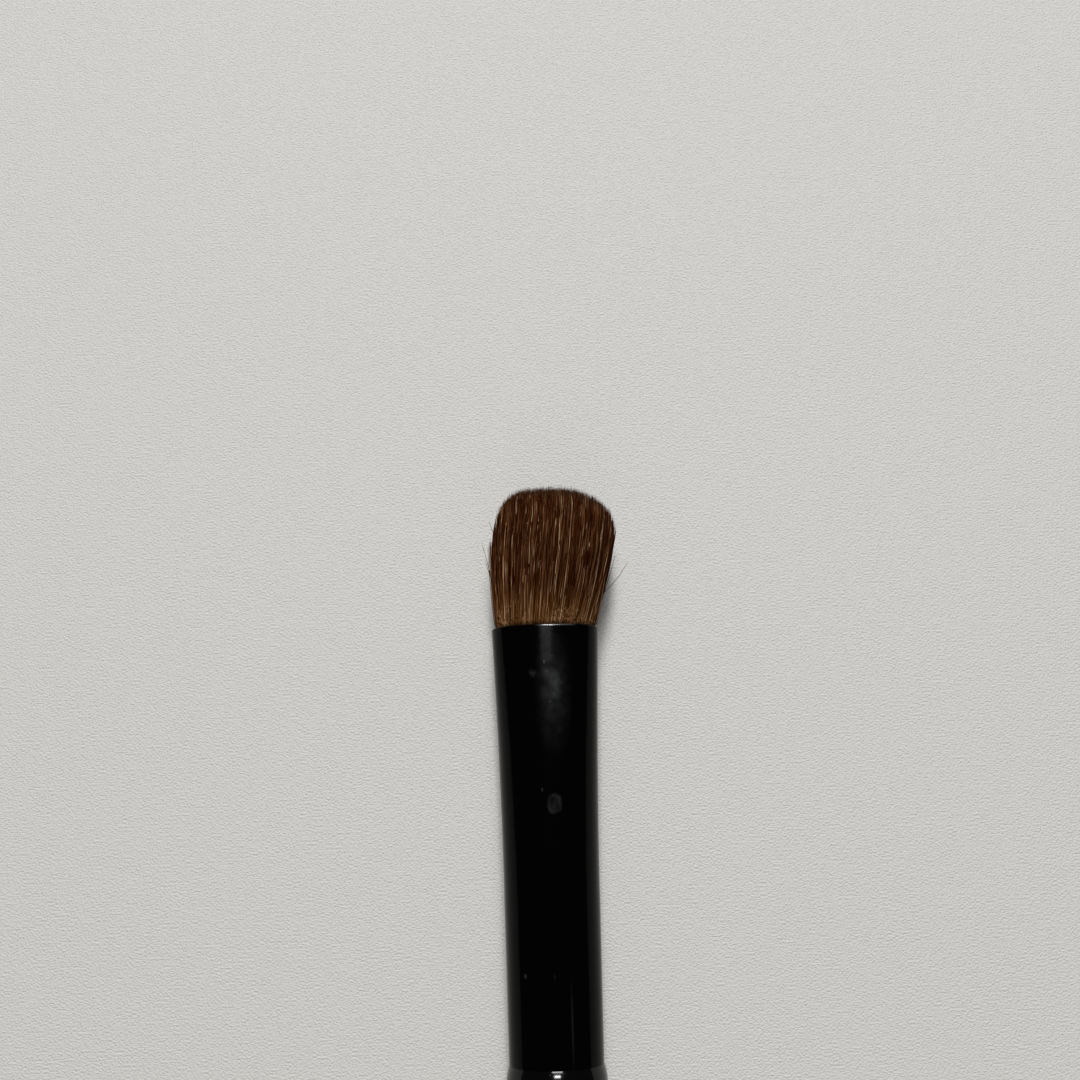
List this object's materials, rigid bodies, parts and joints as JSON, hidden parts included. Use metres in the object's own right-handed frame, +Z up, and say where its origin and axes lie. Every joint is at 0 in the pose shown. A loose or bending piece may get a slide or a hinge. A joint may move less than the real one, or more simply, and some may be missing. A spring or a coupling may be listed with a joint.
{
  "type": "eyeshadow brush",
  "caption": "Slim eyeshadow brush: turned lacquered handle, black metal ferrule pressed from round to oval, and a flared, flat-topped tuft of brown hair that bends and springs back.",
  "frame": {"origin": "on the surface that the brush lies on, under the middle of its length and on its centre line", "axes": "+Y along the brush from the handle's tail to the tip of the hair, +X across the width of the hair, +Z up from the surface"},
  "size_m": [0.0114, 0.165, 0.0104],
  "materials": {
    "handle_lacquer": "gloss",
    "ferrule_metal": "gloss",
    "wood_glue": "satin",
    "brush_hair": "satin",
    "tie_thread": "matte",
    "hair_cement": "satin"
  },
  "bodies": {
    "brush": {"handle": "handle_lacquer", "ferrule": "ferrule_metal", "tenon_glue": "wood_glue", "hair_root": "brush_hair", "binding_thread": "tie_thread", "glue_plug": "hair_cement"},
    "tuft": {"hair_tuft": "brush_hair"}
  },
  "joints": [
    {"name": "tuft_flex", "type": "hinge", "parent": "brush", "child": "tuft", "pos_m": [0, 0.069, 0.0052], "axis": [1, 0, 0], "range_deg": [-40, 40], "stiffness_Nm_per_rad": 0.002, "deforming": ["hair_tuft"]}
  ]
}
